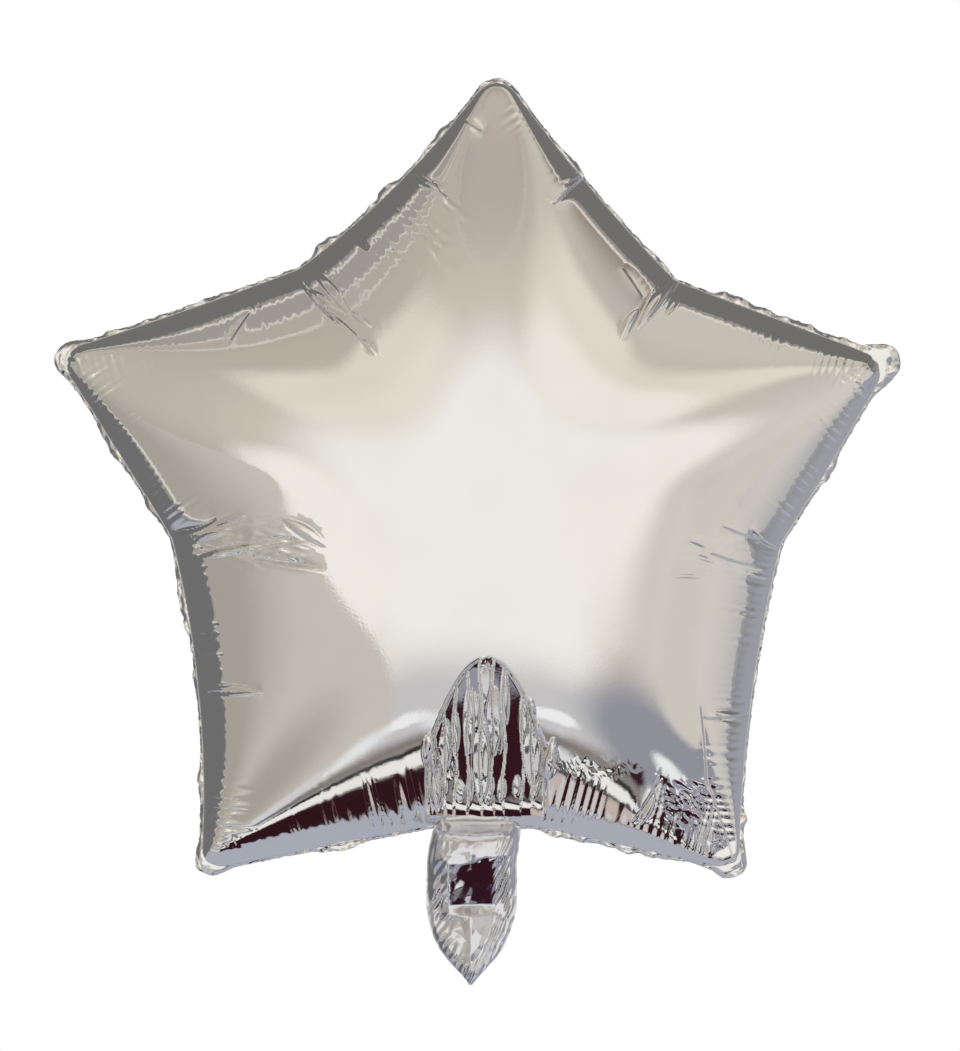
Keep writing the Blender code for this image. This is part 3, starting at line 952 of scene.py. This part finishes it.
# How far the strip reaches in under the panels, and its share that the weld holds flat.
BORDER_UNDERLAP = 0.0015
BORDER_HELD = 0.25
# Lengths over which the strip waves, crinkles and curls. A crinkle is a share of a wave in
# height. In its own plane it moves the strip outwards, and a wave moves it along the seam.
WAVE_LENGTH = 0.0042
CRINKLE_LENGTH = 0.0017
CURL_LENGTH = 0.021
CRINKLE_SHARE = 0.4
EDGE_CRINKLE = 0.0005
ALONG_WAVE = 0.0007
# The most that the uneven edge adds to the narrow strip.
BORDER_UNEVEN = 0.0012
# Ears: the strip stands out further round the tips. Columns: tip, width.
EARS = [
    ("top tip", 0.0032),
    ("right tip", 0.0120),
    ("lower right tip", 0.0085),
    ("lower left tip", 0.0060),
    ("left tip", 0.0100),
]
EAR_WIDEST = max(width for _, width in EARS)
EAR_REACH = 0.013
EAR_CURL = 0.0030
EAR_CRINKLE = 1.1
EAR_RING = 0.0020
EAR_RING_HEIGHT = 0.00045
# Stretches where the strip stands out most. Columns: middle column, middle row, half length.
BORDER_SHOWS = [
    (375, 198, 34), (432, 146, 26), (325, 243, 18), (130, 315, 34), (215, 292, 34), (110, 455, 44),
    (145, 512, 22), (181, 600, 36), (193, 680, 22), (196, 790, 44), (577, 160, 20), (648, 246, 26),
    (735, 292, 26), (790, 318, 30), (850, 350, 26), (838, 470, 26), (748, 820, 30), (345, 838, 34),
    (650, 850, 44), (570, 832, 30),
]

ring = even_points(outline, BORDER_STEP)
count = len(ring)
ahead_points = np.roll(ring, -3, axis=0)
behind_points = np.roll(ring, 3, axis=0)
along_ring = ahead_points - behind_points
along_ring /= np.hypot(*along_ring.T)[:, None]
outwards = np.stack([-along_ring[:, 1], along_ring[:, 0]], 1)
at = np.arange(count) * BORDER_STEP
uneven = smooth_noise(at, 0.018, 31.0) + 0.5 * smooth_noise(at, 0.006, 32.0)
width = BORDER_NARROW + BORDER_UNEVEN * np.clip(0.2 + uneven, 0, 1)
for column, row, half in BORDER_SHOWS:
    near = np.hypot(*(ring - at_pixel(column, row)).T) / (half * PIXEL)
    ragged = np.clip(0.75 + 0.5 * uneven, 0.2, 1.1)
    width += (BORDER_WIDE - BORDER_NARROW) * np.exp(-near ** 2) * ragged
width = np.minimum(width, BORDER_WIDE)
ears = dict(EARS)
ear = np.zeros(count)
for corner in CORNERS:
    if corner[0] in ears:
        near = np.hypot(*(ring - np.array(corner[1:3])).T) / EAR_REACH
        ear = np.maximum(ear, ears[corner[0]] * np.exp(-near ** 2) * (0.9 + 0.5 * uneven))
width = np.maximum(width, ear)
ear_share = ear / EAR_WIDEST
strip_rows = []
for step in range(BORDER_ROWS):
    share = step / (BORDER_ROWS - 1)
    reach = -SEAM_TUCK - BORDER_UNDERLAP + share * (width + SEAM_TUCK + BORDER_UNDERLAP)
    wave = np.array([noise.noise((p / WAVE_LENGTH, share * 1.6, 3.0)) for p in at])
    small = np.array([noise.noise((p / CRINKLE_LENGTH, share * 3.0, 9.0)) for p in at])
    curl = np.array([noise.noise((p / CURL_LENGTH, 0.0, 14.0)) for p in at])
    loose = np.clip((share - BORDER_HELD) / (1 - BORDER_HELD), 0, 1)
    waves = BORDER_WAVE * (1 + EAR_CRINKLE * ear_share) * (wave + CRINKLE_SHARE * small)
    curled = EAR_CURL * curl * loose * width / BORDER_WIDE
    back_curl = BORDER_CURL * loose * (1 + wave)
    rings = EAR_RING_HEIGHT * ear_share * np.sin(2 * math.pi * reach / EAR_RING + 3 * wave)
    y = loose * (waves + curled + back_curl + rings)
    outer = outwards * (reach + loose * EDGE_CRINKLE * small)[:, None]
    aside = along_ring * (ALONG_WAVE * wave * loose)[:, None]
    row_places = ring + outer + aside
    strip_rows.append(np.stack([row_places[:, 0], y, row_places[:, 1]], 1))
strip = np.vstack(strip_rows)
quads = []
for step in range(BORDER_ROWS - 1):
    here = step * count
    beyond = here + count
    for index in range(count):
        after = (index + 1) % count
        quads.append((here + index, here + after, beyond + after, beyond + index))
border_foil = foil("border foil", FOIL_TINT, 0.10)
border = add_piece("crinkled_border", strip, np.array(quads), border_foil)
border_film = border.modifiers.new("film", "SOLIDIFY")
border_film.thickness = BORDER_THICKNESS
border_film.offset = 0.0
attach(border, "envelope")
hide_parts("seam_border")


# Filling neck: a short leaf-shaped tail of the same film, two plies welded down their sides.
# It is pressed flat and crumpled where the hand has held it, and puffed near its root.
# Columns: row in the picture, left column, right column, height of the front ply in its middle.
NECK_ROWS = [
    (812, 447, 512, 0.0008),
    (820, 438, 519, 0.0010),
    (827, 434, 521, 0.0022),
    (832, 432, 521, 0.0100),
    (838, 431, 520, 0.0134),
    (846, 429, 519, 0.0146),
    (853, 428, 518, 0.0150),
    (860, 427, 517, 0.0136),
    (905, 426, 517, 0.0022),
    (912, 427, 516, 0.0018),
    (920, 428, 514, 0.0022),
    (936, 433, 509, 0.0034),
    (950, 440, 502, 0.0036),
    (960, 448, 494, 0.0032),
    (970, 457, 485, 0.0024),
    (979, 466, 476, 0.0014),
    (983, 469, 472, 0.0006),
]
# Creases pressed into the neck, each a run of straight folds. Columns: angle from level, spacing,
# height.
NECK_CREASES = [
    (25, 0.0160, 0.00046),
    (-38, 0.0120, 0.00038),
    (70, 0.0190, 0.00048),
    (-72, 0.0070, 0.00018),
]
# Fine creases down both sides. Columns: side, how far from its edge they start and are full, in
# pixels, angle, spacing, height.
NECK_FINE = [
    (1, 26, 14, -67, 0.0026, 0.00085),
    (-1, 26, 12, -58, 0.0036, 0.00050),
]
# The calm block in the middle of the neck: its first and last column, its top and bottom row,
# the pixels over which it passes into the creased film, its share of creases and its slope.
NECK_CALM = (449, 501, 860, 912)
NECK_CALM_FADE = 8
NECK_CALM_SHARE = 0.30
NECK_LEAN = 0.19
# The ridge down the lower neck: its column, the row where it starts, the pixels over which it
# rises, its height and the pixels over which its flanks fall.
RIDGE_COLUMN = 471
RIDGE_ROW = 904
RIDGE_RISE = 10
RIDGE_HEIGHT = 0.0058
RIDGE_FLANK = 32
# The puff across the neck is flat in the middle and falls to the welded sides.
NECK_FLAT = 4.6
NECK_ROUND = 0.9
NECK_WELD = 0.16
NECK_LEAST = 0.0002
EDGE_WAVE = 0.0009
PLY_GAP = 0.0004
NECK_STEPS_DOWN = 170
NECK_STEPS_ACROSS = 84
NECK_SOFTEN = 3
# How finely the creases are bent, and by what share of their spacing.
CREASE_BEND = (60, 0.25)
FINE_BEND = (150, 0.5)
CREASE_SHIFT = 0.37
EDGE_WAVES = 190

table = np.array(NECK_ROWS)
down_rows = np.linspace(table[0, 0], table[-1, 0], NECK_STEPS_DOWN)
kernel = np.hanning(2 * NECK_SOFTEN + 3)[1:-1]
kernel = kernel / kernel.sum()
lefts, rights, puffs = [
    np.convolve(np.pad(np.interp(down_rows, table[:, 0], values), NECK_SOFTEN, mode="edge"),
                kernel, mode="valid")
    for values in table[:, 1:4].T
]


def creases(x, z, seed):
    """Sum of straight folds in several directions, which leaves flat facets between them."""
    total = 0.0
    scale, bend = CREASE_BEND
    for order, (angle, spacing, height) in enumerate(NECK_CREASES):
        turn = math.radians(angle + 7 * seed)
        place = (x * math.sin(turn) + z * math.cos(turn)) / spacing + CREASE_SHIFT * order + seed
        place += bend * noise.noise((x * scale, z * scale, order + seed))
        total += height * (1 - 4 * abs(place % 1.0 - 0.5))
    return total


def side_creases(x, z, to_left, to_right, seed):
    """Fine creases that fade out inwards from both sides of the neck."""
    total = 0.0
    scale, bend = FINE_BEND
    for edge, begin, full, angle, spacing, height in NECK_FINE:
        turn = math.radians(angle)
        line = (x * math.sin(turn) + z * math.cos(turn)) / spacing
        line += bend * noise.noise((x * scale, z * scale, seed))
        fine = height * (1 - 4 * abs(line % 1.0 - 0.5))
        total += fine * (1 - ease(to_right if edge > 0 else to_left, full, begin))
    return total


def grid_cells(rows, columns):
    """Faces of a grid of points that is laid row by row."""
    here = (np.arange(rows - 1)[:, None] * columns + np.arange(columns - 1)).ravel()
    below = here + columns
    return np.stack([here, below, below + 1, here + 1], 1)


def neck_ply(side, share_of_puff, crumple, seed):
    """Points and faces of one ply. The side is -1 for the front one and 1 for the back one."""
    first, last, top, bottom = NECK_CALM
    points = []
    for row, left, right, puff in zip(down_rows, lefts, rights, puffs):
        for step in range(NECK_STEPS_ACROSS):
            share = step / (NECK_STEPS_ACROSS - 1)
            across = 2 * share - 1
            column = left + (right - left) * share
            x, z = at_pixel(column, row)
            free = ease(1 - abs(across), 0.0, NECK_WELD)
            dome = (1 - abs(across) ** NECK_FLAT) ** NECK_ROUND
            outside = max(first - column, column - last, top - row, row - bottom, 0)
            busy = min(outside / NECK_CALM_FADE, 1.0)
            calm = NECK_CALM_SHARE + (1 - NECK_CALM_SHARE) * busy
            lean = -NECK_LEAN * PIXEL * (column - (first + last) / 2) * (1 - busy)
            ridge = max(1 - abs(column - RIDGE_COLUMN) / RIDGE_FLANK, 0.0)
            ridge *= RIDGE_HEIGHT * min(max((row - RIDGE_ROW) / RIDGE_RISE, 0.0), 1.0)
            rough = crumple * calm * creases(x, z, seed)
            rough += side_creases(x, z, column - left, right - column, seed)
            edge_wave = noise.noise((0.0, z * EDGE_WAVES, seed + across))
            edge_wave *= EDGE_WAVE * (1 - free)
            body = share_of_puff * (puff * dome + ridge + lean) + rough
            y = side * (PLY_GAP / 2 + free * max(body, NECK_LEAST))
            points.append((x, y + edge_wave, z))
    cells = grid_cells(NECK_STEPS_DOWN, NECK_STEPS_ACROSS)
    return np.array(points), cells if side < 0 else cells[:, ::-1]


NECK_TINT = (228, 229, 234)
# Columns: piece, node, side, share of the puff, share of the creases, seed.
for name, node, side, share, crumple, seed in (
    ("neck_front_film", "neck_front_ply", -1, 1.0, 1.0, 2.0),
    ("neck_back_film", "neck_back_ply", 1, 0.45, 0.8, 12.0),
):
    points, cells = neck_ply(side, share, crumple, seed)
    neck_foil = foil(name.replace("_", " "), NECK_TINT, 0.07)
    ply = add_piece(name, points, cells, neck_foil)
    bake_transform(ply)
    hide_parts(node)


# Valve film: a tapered strip of thin clear plastic, laid between the two plies of the neck and
# caught by the welds at their root. The gas presses it shut once the balloon is full.
FILM_WIDTH = 0.026
FILM_TAPER = 0.6
FILM_LENGTH = 0.063
FILM_TOP = -0.1652
FILM_MIDDLE = -0.004
FILM_STEPS = 40
FILM_RIPPLE = 0.00012
FILM_RIPPLES = (260, 120)
FILM_THICKNESS = 0.00006
FILM_COLOUR = (0.80, 0.82, 0.84)
FILM_IOR = 1.5
# How rough the clear film is where it is clearest and where it is haziest.
FILM_HAZE = (0.08, 0.30)
HAZE_SCALE = 180.0
across_scale, down_scale = FILM_RIPPLES
film_points = []
for down in range(FILM_STEPS + 1):
    share = down / FILM_STEPS
    half = FILM_WIDTH / 2 * (1 + (FILM_TAPER - 1) * share)
    for step in range(FILM_STEPS + 1):
        x = FILM_MIDDLE + half * (2 * step / FILM_STEPS - 1)
        z = FILM_TOP - FILM_LENGTH * share
        ripple = noise.noise((x * across_scale, z * down_scale, 4.0))
        film_points.append((x, FILM_RIPPLE * ripple, z))
film_cells = grid_cells(FILM_STEPS + 1, FILM_STEPS + 1)
clear = bpy.data.materials.new("clear valve film")
clear.use_nodes = True
clear_tree = clear.node_tree
plastic = clear_tree.nodes["Principled BSDF"]
plastic.inputs["Base Color"].default_value = (*FILM_COLOUR, 1.0)
plastic.inputs["IOR"].default_value = FILM_IOR
coordinates = clear_tree.nodes.new("ShaderNodeTexCoord")
haze = add_node(clear_tree, "TexNoise", {"Scale": HAZE_SCALE})
clear_tree.links.new(coordinates.outputs["Object"], haze.inputs["Vector"])
spread = add_node(clear_tree, "MapRange", {"To Min": FILM_HAZE[0], "To Max": FILM_HAZE[1]})
clear_tree.links.new(haze.outputs["Fac"], spread.inputs["Value"])
clear_tree.links.new(spread.outputs["Result"], plastic.inputs["Roughness"])
valve = add_piece("valve_strip", np.array(film_points), film_cells, clear)
valve_wall = valve.modifiers.new("film", "SOLIDIFY")
valve_wall.thickness = FILM_THICKNESS
valve_wall.offset = 0.0
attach(valve, "neck")
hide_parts("valve_film")
